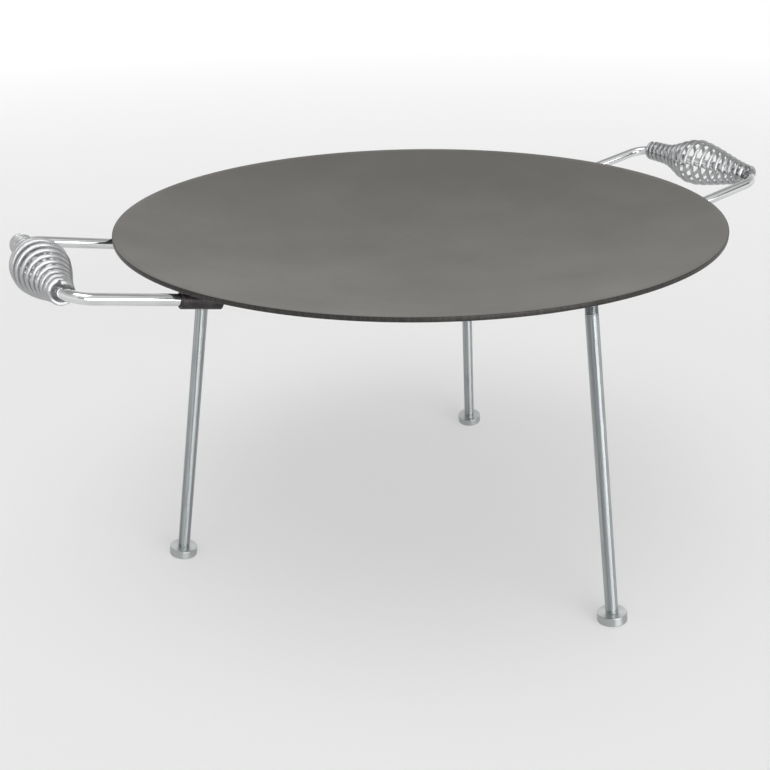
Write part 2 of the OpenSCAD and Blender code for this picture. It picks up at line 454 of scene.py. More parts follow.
class Nodes:
    """Lays out shader nodes in one tree."""

    spacing = 220

    def __init__(self, tree: NodeTree) -> None:
        """Start with an empty tree."""
        self.tree = tree
        self.tree.nodes.clear()

    def node(self, kind: str) -> Node:
        """Add a node, set to the right of those before it.

        Args:
            kind: Name of the node's type, without the words ShaderNode before it.

        Returns:
            The node.
        """
        made = self.tree.nodes.new(f"ShaderNode{kind}")
        made.location = (self.spacing * len(self.tree.nodes), 0)
        return made

    def join(self, source: NodeSocket, target: NodeSocket) -> None:
        """Link one socket to another."""
        self.tree.links.new(source, target)

    def add(self, kind: str, out: Union[int, str], inputs: Inputs, **settings: str) -> NodeSocket:
        """Add a node with its inputs filled in.

        Args:
            kind: Name of the node's type, without the words ShaderNode before it.
            out: The output that is wanted.
            inputs: The socket or the constant that goes into each input.
            settings: Choices that the node itself holds.

        Returns:
            The socket of the output.
        """
        made = self.node(kind)
        for name, choice in settings.items():
            setattr(made, name, choice)
        for name, term in inputs.items():
            if isinstance(term, NodeSocket):
                self.join(term, made.inputs[name])
            else:
                made.inputs[name].default_value = term
        return made.outputs[out]

    def stretch(self, source: NodeSocket, scale: Point) -> NodeSocket:
        """Stretch coordinates by a factor along x, y and z."""
        return self.add("Mapping", "Vector", {"Vector": source, "Scale": scale})

    def noise(
        self, source: NodeSocket, scale: float, detail: float = 3.0, rough: float = 0.55
    ) -> NodeSocket:
        """Add clouds, so many to a metre, with finer layers of some strength."""
        inputs = {"Vector": source, "Scale": scale, "Detail": detail, "Roughness": rough}
        return self.add("TexNoise", "Fac", inputs)

    def span(
        self, source: NodeSocket, low: float, high: float, a: float = 0.0, b: float = 1.0
    ) -> NodeSocket:
        """Map the values from low to high onto a to b, and hold them there."""
        inputs = {"Value": source, "From Min": low, "From Max": high, "To Min": a, "To Max": b}
        return self.add("MapRange", "Result", inputs)

    def tint(self, share: NodeSocket, a: Term, b: Term) -> NodeSocket:
        """Blend colours, each a constant or a socket, with a share of b."""
        a, b = ((*c, 1.0) if isinstance(c, tuple) else c for c in (a, b))
        return self.add("Mix", 2, {0: share, 6: a, 7: b}, data_type="RGBA")

    def sum(self, a: NodeSocket, b: NodeSocket, kind: str = "ADD") -> NodeSocket:
        """Put two values together, as Blender's math node names it."""
        return self.add("Math", 0, {0: a, 1: b}, operation=kind)

    def vector(self, kind: str, *terms: Term) -> NodeSocket:
        """Put vectors together, as Blender's vector math node names it."""
        out = "Value" if kind in ("LENGTH", "DOT_PRODUCT") else "Vector"
        return self.add("VectorMath", out, dict(enumerate(terms)), operation=kind)

    def radius(self, source: NodeSocket) -> NodeSocket:
        """Give the distance from the z axis of some coordinates."""
        return self.vector("LENGTH", self.stretch(source, (1, 1, 0)))

    def height(self, source: NodeSocket) -> NodeSocket:
        """Give the z of some coordinates."""
        return self.add("SeparateXYZ", "Z", {"Vector": source})


class Recipe(Nodes):
    """Lays out the shader nodes of one material."""

    def __init__(self, name: str) -> None:
        """Start a material with a plain shader.

        Args:
            name: Name of the material.
        """
        self.material = bpy.data.materials.new(name)
        self.material.use_nodes = True
        super().__init__(self.material.node_tree)
        self.shader = self.node("BsdfPrincipled")
        self.out = self.node("OutputMaterial")
        self.join(self.shader.outputs["BSDF"], self.out.inputs["Surface"])

    def feed(self, name: str, source: NodeSocket) -> None:
        """Link a socket to a named input of the shader."""
        self.join(source, self.shader.inputs[name])

    def fix(self, **values: float) -> None:
        """Set inputs of the shader that are the same all over."""
        for name, value in values.items():
            self.shader.inputs[name].default_value = value

    def coords(self, place: Optional[Matrix] = None) -> NodeSocket:
        """Give the object coordinates, in a piece's own frame if one is named.

        Args:
            place: The matrix that takes the piece's frame to the part's frame.

        Returns:
            The socket of the coordinates.
        """
        source = self.add("TexCoord", "Object", {})
        if place is None:
            return source
        back = place.inverted()
        move = {"Location": back.to_translation(), "Rotation": back.to_euler("XYZ")}
        return self.add("Mapping", "Vector", {"Vector": source, **move})

    def normal(self) -> NodeSocket:
        """Give the direction that the surface faces."""
        return self.add("NewGeometry", "Normal", {})

    def lathe(self, place: Matrix) -> None:
        """Draw the gloss out across fine lines that run round an axis.

        A lathe leaves such lines on a rod, and a die on a wound wire.

        Args:
            place: Frame of the piece, with z along the axis.
        """
        out = self.vector("SUBTRACT", self.coords(), place.to_translation())
        lines = self.vector("CROSS_PRODUCT", place.to_3x3() @ Vector((0, 0, 1)), out)
        turned = self.add(
            "VectorTransform",
            "Vector",
            {"Vector": lines},
            vector_type="VECTOR",
            convert_from="OBJECT",
            convert_to="WORLD",
        )
        self.feed("Tangent", self.vector("CROSS_PRODUCT", turned, self.normal()))

    def relief(self, *layers: tuple[NodeSocket, float, float]) -> None:
        """Raise the surface a little by some patterns.

        Args:
            layers: For each pattern its socket, strength and height in metres.
        """
        bump: Inputs = {}
        for source, strength, height in layers:
            bump |= {"Height": source, "Strength": strength, "Distance": height}
            bump["Normal"] = self.add("Bump", "Normal", bump)
        self.feed("Normal", bump["Normal"])


@dataclass(frozen=True)
class RolledSteel:
    """Bare rolled sheet, oiled, with a darker cut rim and a scaled underside."""

    face: Colour = (0.19, 0.183, 0.166)
    cloud: Colour = (0.175, 0.167, 0.151)
    rim: Colour = (0.038, 0.036, 0.035)
    cut: Colour = (0.064, 0.061, 0.058)
    under: Colour = (0.105, 0.102, 0.102)
    rim_r: float = 289.3 * MM
    rim_fade: float = 0.3 * MM

    def make(self) -> Material:
        """Build the material.

        Returns:
            The finished material.
        """
        r = Recipe("plate_rolled_steel")
        at = r.coords()
        clouds = r.noise(at, scale=9, detail=6)
        rolled = r.noise(r.stretch(at, (150, 3, 150)), scale=7, rough=0.5)
        grain = r.noise(at, scale=1600, detail=2, rough=0.5)
        marks = r.noise(r.stretch(at, (1, 1, 0.06)), scale=520, rough=0.6)
        patch = r.sum(clouds, r.span(rolled, 0.3, 0.7, 0.85, 1.15), "MULTIPLY")
        face = r.tint(r.span(patch, 0.3, 0.7), self.cloud, self.face)
        scaled = r.tint(r.span(clouds, 0.35, 0.7), self.under, self.rim)
        below = r.span(r.height(r.normal()), 0.0, -0.6)
        edge = r.span(r.radius(at), self.rim_r - self.rim_fade, self.rim_r)
        rim = r.tint(r.span(marks, 0.35, 0.65), self.rim, self.cut)
        r.feed("Base Color", r.tint(edge, r.tint(below, face, scaled), rim))
        r.feed("Roughness", r.span(patch, 0.3, 0.7, 0.47, 0.41))
        r.fix(Metallic=0.85)
        r.relief((grain, 0.08, 0.04 * MM), (clouds, 0.04, 0.6 * MM))
        return r.material


@dataclass(frozen=True)
class DarkSteel:
    """Bare dark steel of the sleeves and sockets, dull, with paler worn flecks."""

    dark: Colour = (0.038, 0.035, 0.036)
    worn: Colour = (0.074, 0.07, 0.07)

    def make(self) -> Material:
        """Build the material.

        Returns:
            The finished material.
        """
        r = Recipe("fitting_dark_steel")
        at = r.coords()
        clouds = r.noise(at, scale=90, detail=5, rough=0.6)
        flecks = r.noise(at, scale=700, detail=4, rough=0.7)
        wear = r.span(r.sum(clouds, flecks, "MULTIPLY"), 0.22, 0.42)
        r.feed("Base Color", r.tint(wear, self.dark, self.worn))
        r.feed("Roughness", r.span(clouds, 0.3, 0.7, 0.36, 0.56))
        r.fix(Metallic=0.85)
        r.relief((flecks, 0.15, 0.08 * MM))
        return r.material


@dataclass(frozen=True)
class WeldMetal:
    """Weld beads with grey, straw and blue heat colours."""

    grey: Colour = (0.16, 0.15, 0.145)
    straw: Colour = (0.22, 0.165, 0.1)
    blue: Colour = (0.085, 0.1, 0.15)

    def make(self) -> Material:
        """Build the material.

        Returns:
            The finished material.
        """
        r = Recipe("weld_metal")
        at = r.coords()
        warm = r.noise(at, scale=160)
        cool = r.noise(r.stretch(at, (1.3, 0.8, 1.1)), scale=110)
        spots = r.noise(at, scale=1500, rough=0.6)
        colour = r.tint(r.span(warm, 0.5, 0.7, 0, 0.8), self.grey, self.straw)
        r.feed("Base Color", r.tint(r.span(cool, 0.55, 0.72, 0, 0.8), colour, self.blue))
        r.feed("Roughness", r.span(spots, 0.3, 0.7, 0.28, 0.5))
        r.fix(Metallic=0.9)
        r.relief((spots, 0.25, 0.1 * MM))
        return r.material


@dataclass(frozen=True)
class ZincPlate:
    """Bright zinc on a drawn rod, slightly blue, streaked along the rod.

    Fine grinding lines round the rod draw its gloss out along it.
    """

    name: str
    place: Matrix
    pale: Colour = (0.52, 0.551, 0.552)
    cool: Colour = (0.265, 0.294, 0.298)
    violet: Colour = (0.38, 0.384, 0.41)

    def make(self) -> Material:
        """Build the material.

        Returns:
            The finished material.
        """
        r = Recipe(self.name)
        at = r.coords(self.place)
        streaks = r.noise(r.stretch(at, (1, 1, 0.005)), scale=420, detail=2, rough=0.5)
        fine = r.noise(r.stretch(at, (1, 1, 0.02)), scale=2300, detail=2, rough=0.5)
        clouds = r.noise(at, scale=32, rough=0.5)
        drawn = r.tint(r.span(streaks, 0.38, 0.62), self.cool, self.pale)
        r.feed("Base Color", r.tint(r.span(clouds, 0.45, 0.7, 0, 0.7), drawn, self.violet))
        ground = r.span(fine, 0.3, 0.7, 0, 0.03)
        r.feed("Roughness", r.sum(ground, r.span(clouds, 0.3, 0.7, 0.33, 0.37)))
        r.fix(Metallic=1.0, Anisotropic=1.0)
        r.lathe(self.place)
        return r.material


@dataclass(frozen=True)
class TurnedZinc:
    """Bright zinc on a turned disc, with the fine rings of the lathe.

    Its faces are painted paler and its side darker: painted light from above on the faces and
    painted shade on the side.
    """

    name: str
    place: Matrix
    pale: Colour = (0.79, 0.812, 0.806)
    cool: Colour = (0.69, 0.718, 0.714)
    # painted shade: darker colour of the disc's side, set against the paler faces
    side: Colour = (0.45, 0.468, 0.467)
    side_r: float = 13.5 * MM
    side_fade: float = 0.3 * MM
    rings: float = 620.0
    waver: float = 1.2

    def make(self) -> Material:
        """Build the material.

        Returns:
            The finished material.
        """
        r = Recipe(self.name)
        at = r.coords(self.place)
        inputs = {"Vector": at, "Scale": self.rings, "Distortion": self.waver, "Detail": 2}
        rings = r.add("TexWave", "Fac", inputs, wave_type="RINGS", rings_direction="Z")
        clouds = r.noise(at, scale=90, detail=4)
        faces = r.tint(r.span(clouds, 0.32, 0.68), self.cool, self.pale)
        # painted light and shade: paler faces inside this radius, darker side outside it
        edge = r.span(r.radius(at), self.side_r, self.side_r + self.side_fade)
        r.feed("Base Color", r.tint(edge, faces, self.side))
        turned = r.span(rings, 0, 1, 0, 0.04)
        r.feed("Roughness", r.sum(turned, r.span(clouds, 0.3, 0.7, 0.3, 0.36)))
        r.fix(Metallic=1.0, Anisotropic=0.75)
        r.lathe(self.place)
        return r.material


@dataclass(frozen=True)
class BrightPlate:
    """Bright plating on bent rod, with faint haze and pits."""

    name: str
    metal: Colour = (0.74, 0.745, 0.75)
    haze: Colour = (0.66, 0.667, 0.675)
    gloss: float = 0.06
    dull: float = 0.13
    wound: Optional[Matrix] = None

    def make(self) -> Material:
        """Build the material.

        Returns:
            The finished material.
        """
        r = Recipe(self.name)
        at = r.coords()
        clouds = r.noise(at, scale=60, detail=4)
        pits = r.noise(at, scale=1900, detail=2, rough=0.5)
        r.feed("Base Color", r.tint(r.span(clouds, 0.35, 0.72), self.metal, self.haze))
        r.feed("Roughness", r.span(clouds, 0.35, 0.7, self.gloss, self.dull))
        r.fix(Metallic=1.0)
        if self.wound is not None:
            r.fix(Anisotropic=1.0)
            r.lathe(self.wound)
        r.relief((pits, 0.015, 0.01 * MM))
        return r.material


@dataclass(frozen=True)
class SpringPlate(BrightPlate):
    """Duller plating on spring wire, wound round the axis of its frame."""

    metal: Colour = (0.5, 0.506, 0.512)
    haze: Colour = (0.46, 0.466, 0.472)
    gloss: float = 0.32
    dull: float = 0.38


@dataclass(frozen=True)
class PaleFloor:
    """Plain pale studio floor with a trace of unevenness.

    Far from the part it runs out into a white backdrop, which only shows and
    mirrors, and puts no light on the part.
    """

    pale: Colour = (0.8, 0.8, 0.795)
    shade: Colour = (0.78, 0.78, 0.776)
    near: float = 0.7
    far: float = 4.0
    veil: float = 0.35

    def make(self) -> Material:
        """Build the material.

        Returns:
            The finished material.
        """
        r = Recipe("studio_floor")
        at = r.coords()
        r.feed("Base Color", r.tint(r.noise(at, scale=3, detail=2), self.shade, self.pale))
        r.fix(Roughness=0.85)
        rays = r.node("LightPath").outputs
        seen = rays["Is Camera Ray"]
        for name in ("Is Glossy Ray", "Is Transmission Ray"):
            seen = r.sum(seen, rays[name], "MAXIMUM")
        share = r.sum(seen, r.span(r.radius(at), self.near, self.far, self.veil, 1), "MULTIPLY")
        white = r.add("Emission", "Emission", {})
        mixed = r.add("MixShader", "Shader", {0: share, 1: r.shader.outputs["BSDF"], 2: white})
        r.join(mixed, r.out.inputs["Surface"])
        return r.material


@dataclass
class GriddlePlate:
    """The dished plate, with rounded corners at its rim."""

    layout: Layout
    corner: float = 0.7 * MM
    face_steps: int = 44
    under_steps: int = 22
    round_steps: int = 224

    def build(self, finish: Material) -> None:
        """Spin the plate from its half section and hang it on its body.

        Args:
            finish: Material of the sheet.
        """
        lay, c = self.layout, self.corner
        inner = lay.plate_r - c
        shape = Shape()
        at = shape.start(0, lay.centre_z - lay.dish_r)
        at = shape.arc(at, 0, lay.centre_z, -asin(inner / lay.dish_r), self.face_steps)
        at = shape.arc(at, inner, at.co.z - c, pi / 2)
        low = lay.centre_z - sqrt(lay.under_r**2 - inner**2)
        at = shape.line(at, (lay.plate_r, low + c))
        at = shape.arc(at, inner, low + c, pi / 2)
        shape.arc(at, 0, lay.centre_z, asin(inner / lay.under_r), self.under_steps)
        shape.turn(self.round_steps)
        sheet = shape.piece("plate_sheet", finish, Crease.ROUND)
        dress(sheet, "plate", "griddle_plate")


@dataclass
class LegSocket:
    """A tapped boss under the plate, with the weld bead round it."""

    layout: Layout
    outer_r: float = 11 * MM
    bore_r: float = 6.08 * MM
    length: float = 18 * MM
    lip: float = 1 * MM
    sides: int = 64
    bead: float = 3.2 * MM
    bead_root: float = 0.2 * MM
    bead_steps: int = 7
    ripples: int = 26
    ripple_steps: int = 6
    swell: float = 0.1

    def build(self, place: LegPlace, steel: Material, weld: Material) -> None:
        """Spin the boss and its bead, and hang them on the plate.

        Args:
            place: The leg that screws into the boss.
            steel: Material of the boss.
            weld: Material of the bead.
        """
        name, where = place.label, self.layout.on_leg(place)
        boss = self.boss().move(where).piece(f"socket_boss_{name}", steel)
        dress(boss, "plate", f"socket_{name}")
        bead = self.ring_bead().move(where).piece(f"socket_bead_{name}", weld, Crease.RIPPLED)
        dress(bead, "plate", f"socket_weld_{name}")

    def boss(self) -> Shape:
        """Make the boss in the leg's own frame.

        Returns:
            The boss, its upper end following the dish.
        """
        lay, lip, outer = self.layout, self.lip, self.outer_r
        shape = Shape()
        first = shape.start(self.bore_r, lay.under_at(self.bore_r))
        at = shape.line(first, (outer, lay.under_at(outer)), (outer, self.length - lip))
        at = shape.arc(at, outer - lip, self.length - lip, -pi / 2)
        at = shape.line(at, (self.bore_r + lip, self.length), (self.bore_r, self.length - lip))
        shape.close(first, at)
        shape.turn(self.sides)
        return shape

    def ring_bead(self) -> Shape:
        """Make the rippled bead in the leg's own frame.

        Returns:
            The bead, resting on the underside and on the boss.
        """
        hidden, toe = self.outer_r - self.bead_root, self.outer_r + self.bead
        top = self.layout.under_at(self.outer_r)
        shape = Shape()
        first = shape.start(hidden, top)
        at = shape.line(first, (toe, self.layout.under_at(toe)))
        at = shape.arc(at, self.outer_r, top, -pi / 2, self.bead_steps)
        at = shape.line(at, (hidden, at.co.z))
        shape.close(first, at)
        shape.turn(self.ripples * self.ripple_steps)
        for v in shape.bm.verts:
            out = v.co.xy.length
            if out > self.outer_r:
                grow = 1 + self.swell * cos(self.ripples * atan2(v.co.y, v.co.x))
                v.co.xy *= (self.outer_r + (out - self.outer_r) * grow) / out
                v.co.z = top + (v.co.z - top) * grow
        return shape


@dataclass
class ScrewLeg:
    """A plated rod with a real screw thread at its top and a disc foot.

    The thread's depth and its flat crest are shares of the pitch.
    """

    layout: Layout
    rod_r: float = 6 * MM
    sides: int = 40
    pitch: float = 1.75 * MM
    depth_share: float = 0.6134
    crest_share: float = 0.125
    turns: int = 18
    spare_turns: int = 2
    runout: float = 0.4 * MM
    end_gap: float = 0.5 * MM
    lead: float = 0.6 * MM
    neck: float = 0.7 * MM
    groove: float = 1.9 * MM
    groove_depth: float = 0.75 * MM
    groove_wall: float = 0.4 * MM
    collar: float = 2.2 * MM
    foot_t: float = 8.5 * MM
    foot_edge: float = 0.5 * MM
    foot_strip: float = 0.8 * MM
    foot_hub: float = 4.8 * MM
    foot_sides: int = 80

    @property
    def foot_top(self) -> float:
        """Distance of the foot's upper face from the plate's underside."""
        return self.layout.leg_len - self.foot_t

    def build(self, place: LegPlace) -> None:
        """Make the rod and the foot, and hang them on the leg's body.

        Args:
            place: The leg that is meant.
        """
        name, where = place.label, self.layout.on_leg(place)
        zinc = ZincPlate(f"leg_zinc_{name}", where).make()
        rod = self.rod().move(where).piece(f"screw_rod_{name}", zinc, Crease.ROUND)
        dress(rod, f"leg_{name}", f"leg_rod_{name}")
        zinc = TurnedZinc(f"foot_zinc_{name}", where).make()
        foot = self.foot().move(where).piece(f"foot_disc_{name}", zinc, Crease.ROUND)
        dress(foot, f"leg_{name}", f"foot_{name}")

    def rod(self) -> Shape:
        """Make the threaded rod in the leg's own frame.

        The thread is one ridge spun along a screw line, cut off square at both
        ends. Its first ridge is bevelled and its last one runs out into the rod.
        A narrow groove is turned just over the foot.

        Returns:
            The closed rod.
        """
        depth, flat = self.depth_share * self.pitch, self.crest_share * self.pitch
        root, half = self.rod_r - depth, (self.pitch - flat) / 2
        low = self.end_gap - self.pitch
        crest = low + half
        shape = Shape()
        at = shape.start(root, low)
        shape.line(at, (self.rod_r, crest), (self.rod_r, crest + flat), (root, low + self.pitch))
        shape.turn(self.sides, self.turns + self.spare_turns, self.pitch)
        end = self.end_gap + self.turns * self.pitch
        for v in shape.bm.verts:
            out = v.co.xy.length
            most = root - self.lead + max(0.0, v.co.z - self.end_gap)
            least = root + depth * (v.co.z - end + self.pitch) / self.pitch
            v.co.xy *= min(max(out, min(least, self.rod_r)), most) / out
        shape.cap(shape.cut((0, 0, self.end_gap), (0, 0, -1)))
        end += self.runout
        edges = shape.cut((0, 0, end), (0, 0, 1))
        slim = 1 - self.groove_depth / self.rod_r
        stages = (
            (self.foot_top - self.collar - self.groove - end, 1.0),
            (self.groove_wall, slim),
            (self.groove - 2 * self.groove_wall, 1.0),
            (self.groove_wall, 1 / slim),
            (self.collar, 1.0),
        )
        for down, wider in stages:
            move = Matrix.Translation((0, 0, down)) @ Matrix.Diagonal((wider, wider, 1, 1))
            edges = shape.grow(edges, move)
        shape.cap(edges, self.neck, CORNER_STEPS)
        shape.tidy()
        return shape

    def foot(self) -> Shape:
        """Make the disc foot in the leg's own frame.

        Narrow flat strips beside its rounded edges keep the faces flat to look at.

        Returns:
            The closed disc, square to the leg.
        """
        top, base, strip = self.foot_top, self.layout.leg_len, self.foot_strip
        edge, brk = self.layout.foot_r, self.foot_edge
        shape = Shape()
        at = shape.start(0, base)
        at = shape.line(at, (edge - 2 * brk, base), (edge - brk, base))
        at = shape.arc(at, edge - brk, base - brk, pi / 2)
        at = shape.line(at, (edge, base - strip), (edge, top + strip), (edge, top + brk))
        at = shape.arc(at, edge - brk, top + brk, pi / 2)
        shape.line(at, (edge - strip, top), (self.foot_hub, top), (0, top))
        shape.turn(self.foot_sides)
        return shape


@dataclass
class ArmSleeve:
    """A tube under the rim that takes a handle arm, with its two weld beads."""

    layout: Layout
    length: float = 35 * MM
    bore_r: float = 5.08 * MM
    lip: float = 0.8 * MM
    chamfer: float = 0.4 * MM
    sides: int = 64
    bead_r: float = 2.6 * MM
    bead_len: float = 26 * MM
    bead_side: float = 6.2 * MM
    bead_drop: float = 1 * MM
    bead_sides: int = 18
    ripples: int = 13
    ripple_steps: int = 4
    swell: float = 0.07
    blunt: float = 0.12
    widen: float = 9.0

    def build(self, side: HandleSide, row: ArmRow, steel: Material, weld: Material) -> None:
        """Make the tube and its beads, and hang them on the plate.

        Args:
            side: The handle that the arm belongs to.
            row: The arm that slides into the tube.
            steel: Material of the tube.
            weld: Material of the beads.
        """
        name, where = f"{side.label}_{row.label}", self.layout.on_arm(side, row)
        tube = self.tube().move(where).piece(f"sleeve_tube_{name}", steel)
        dress(tube, "plate", f"sleeve_{name}")
        where = where @ Matrix.Rotation(row.value * side.sign * self.layout.seat_lean, 4, "Z")
        beads = self.beads().move(where).piece(f"sleeve_beads_{name}", weld, Crease.RIPPLED)
        dress(beads, "plate", f"sleeve_weld_{name}")

    def tube(self) -> Shape:
        """Make the tube in the arm's own frame.

        Returns:
            The closed tube with rounded lips.
        """
        outer, half, lip = self.layout.sleeve_r, self.length / 2, self.lip
        bore, mouth = self.bore_r, self.bore_r + self.chamfer
        shape = Shape()
        first = shape.start(bore, self.chamfer - half)
        at = shape.line(first, (mouth, -half), (outer - lip, -half))
        at = shape.arc(at, outer - lip, lip - half, -pi / 2)
        at = shape.line(at, (outer, 2 * lip - half), (outer, half - 2 * lip), (outer, half - lip))
        at = shape.arc(at, outer - lip, half - lip, -pi / 2)
        at = shape.line(at, (mouth, half), (bore, half - self.chamfer))
        shape.close(first, at)
        shape.turn(self.sides)
        return shape

    def beads(self) -> Shape:
        """Make the two rippled beads in the frame of the sleeve's seat.

        Returns:
            The closed beads, flat where they meet the plate.
        """
        outer = self.layout.sleeve_r
        shape = Shape()
        for edge in (-1, 1):
            self.bead(shape, Vector((self.bead_drop - outer, edge * self.bead_side, 0)))
        shape.cap(shape.cut((self.layout.sleeve_seat - outer, 0, 0), (-1, 0, 0)))
        shape.tidy()
        return shape

    def width(self, s: float) -> float:
        """Share of a bead's full width at a place from 0 to 1 along it, rippled."""
        ripple = 1 - self.swell * cos(FULL_TURN * self.ripples * s)
        return ripple * min(1.0, sqrt(self.blunt + self.widen * min(s, 1 - s)))

    def bead(self, shape: Shape, middle: Vector) -> None:
        """Grow one rippled bead with rounded ends.

        Args:
            shape: The mesh that takes the bead.
            middle: Middle of the bead.
        """
        count = self.ripples * self.ripple_steps
        widths = [self.width(i / count) for i in range(count + 1)]
        here = Matrix.Translation(middle - Vector((0, 0, self.bead_len / 2)))
        first = shape.ring(self.bead_r * widths[0], self.bead_sides, here)
        edges: Sequence[BMEdge] = first
        step = Matrix.Translation((0, 0, self.bead_len / count))
        for before, after in zip(widths, widths[1:]):
            wider = Matrix.Diagonal((after / before, after / before, 1, 1))
            edges = shape.grow(edges, step @ here @ wider @ here.inverted())
            here = step @ here
        shape.cap(first)
        shape.cap(edges)


@dataclass
class RodHandle:
    """A plated rod bent to a U, its two arms sliding in the sleeves."""

    layout: Layout
    rod_r: float = 5 * MM
    bend_r: float = 21 * MM
    arm_in: float = 14.5 * MM
    tip: float = 1 * MM
    sides: int = 32
    bend_steps: int = 18

    def build(self, side: HandleSide, finish: Material) -> None:
        """Bend the rod and hang it on the handle's body.

        Args:
            side: The handle that is meant.
            finish: Material of the rod.
        """
        lay, name = self.layout, side.label
        bend_x, bend_y = lay.arm_out - self.bend_r, lay.arm_y - self.bend_r
        arm = Matrix.Translation((bend_x + self.arm_in, 0, 0))
        bar = Matrix.Translation((0, lay.arm_gap - 2 * self.bend_r, 0))
        start = Matrix.Translation((-self.arm_in, -lay.arm_y, 0)) @ Matrix.Rotation(pi / 2, 4, "Y")
        shape = Shape()
        first = shape.ring(self.rod_r, self.sides, start)
        edges = shape.grow(first, arm)
        edges = shape.bend(edges, bend_x, -bend_y, self.bend_steps)
        edges = shape.grow(edges, bar)
        edges = shape.bend(edges, bend_x, bend_y, self.bend_steps)
        edges = shape.grow(edges, arm.inverted())
        shape.cap(first, self.tip)
        shape.cap(edges, self.tip)
        shape.tidy()
        rod = shape.move(lay.on_handle(side)).piece(f"bent_rod_{name}", finish, Crease.ROUND)
        dress(rod, f"handle_{name}", f"handle_rod_{name}")


@dataclass
class SpringGrip:
    """A bulged grip of spring wire that turns loosely on the handle's bar."""

    layout: Layout
    wire_r: float = 1.75 * MM
    length: float = 154 * MM
    end_r: float = 10.5 * MM
    bulge_r: float = 24.5 * MM
    turns: int = 18
    spread: float = 0.2
    flare: float = 0.68
    front_taper: float = 0.5
    rear_taper: float = 0.15
    close: float = 1.7 * MM
    close_turns: float = 0.6
    steps: int = 48
    sides: int = 14
    tip: float = 0.5 * MM
    glance: float = 0.004

    @property
    def reach(self) -> float:
        """Length between the middles of the first and last wire."""
        return self.length - 2 * self.wire_r

    def ease(self, x: float) -> float:
        """Rounded slope from 1 at x = 0 to 0 at x = 1."""
        return (1 + cos(pi * min(1.0, x))) / 2

    def bulge(self, s: float) -> float:
        """Give the share of the bulge at a place along the grip.

        Args:
            s: Place from 0 at the front end to 1 at the rear end.

        Returns:
            The share, 0 at the ends and 1 at the middle.
        """
        if s < 0.5:
            return (1 - self.front_taper) * self.ease(1 - 2 * s) + self.front_taper * 2 * s
        fall = self.ease((2 * s - 1) / self.flare)
        return (1 - self.rear_taper) * fall + self.rear_taper * (2 - 2 * s)

    def along(self, n: float) -> float:
        """Give the place along the grip after n turns, before it is scaled.

        Args:
            n: Number of turns from the front end.

        Returns:
            The place in metres from the grip's middle.
        """
        even = self.reach * (n / self.turns - 0.5)
        wide = self.reach * self.spread * sin(FULL_TURN * n / self.turns) / FULL_TURN
        drawn = exp(-n / self.close_turns) - exp((n - self.turns) / self.close_turns)
        return even - wide + self.close * drawn

    def station(self, n: float) -> Vector:
        """Give the point of the wire's middle line after n turns.

        Args:
            n: Number of turns from the front end.

        Returns:
            The point in the grip's own frame, with y along the bar.
        """
        y = self.along(n) * self.reach / (-2 * self.along(0))
        inner, outer = self.end_r - self.wire_r, self.bulge_r - self.wire_r
        r = inner + (outer - inner) * self.bulge(y / self.reach + 0.5)
        return Vector((r * sin(FULL_TURN * n), y, r * cos(FULL_TURN * n)))

    def wire_frame(self, n: float) -> Matrix:
        """Give the frame of the wire after n turns, with z along the wire.

        Args:
            n: Number of turns from the front end.

        Returns:
            The frame in the grip's own frame.
        """
        here = self.station(n)
        z = (self.station(n + self.glance) - self.station(n - self.glance)).normalized()
        y = z.cross(Vector((here.x, 0, here.z))).normalized()
        made = Matrix((y.cross(z), y, z)).transposed().to_4x4()
        made.translation = here
        return made

    def build(self, side: HandleSide) -> None:
        """Wind the wire and hang it on the grip's body.

        Args:
            side: The handle that carries the grip.
        """
        lay, name = self.layout, side.label
        finish = SpringPlate(f"spring_bright_{name}", wound=lay.on_bar(side)).make()
        shape = Shape()
        here = self.wire_frame(0)
        first = shape.ring(self.wire_r, self.sides, here)
        edges: Sequence[BMEdge] = first
        for i in range(1, self.turns * self.steps + 1):
            there = self.wire_frame(i / self.steps)
            edges = shape.grow(edges, there @ here.inverted())
            here = there
        shape.cap(first, self.tip)
        shape.cap(edges, self.tip)
        shape.tidy()
        wire = shape.move(lay.bar_middle(side)).piece(f"spring_wire_{name}", finish, Crease.ROUND)
        dress(wire, f"grip_{name}", f"grip_coil_{name}")


def toward(turn: float, rise: float = 0.0) -> Vector:
    """Direction at a turn from +X and a rise over the horizon, in radians."""
    return Vector((cos(rise) * cos(turn), cos(rise) * sin(turn), sin(rise)))


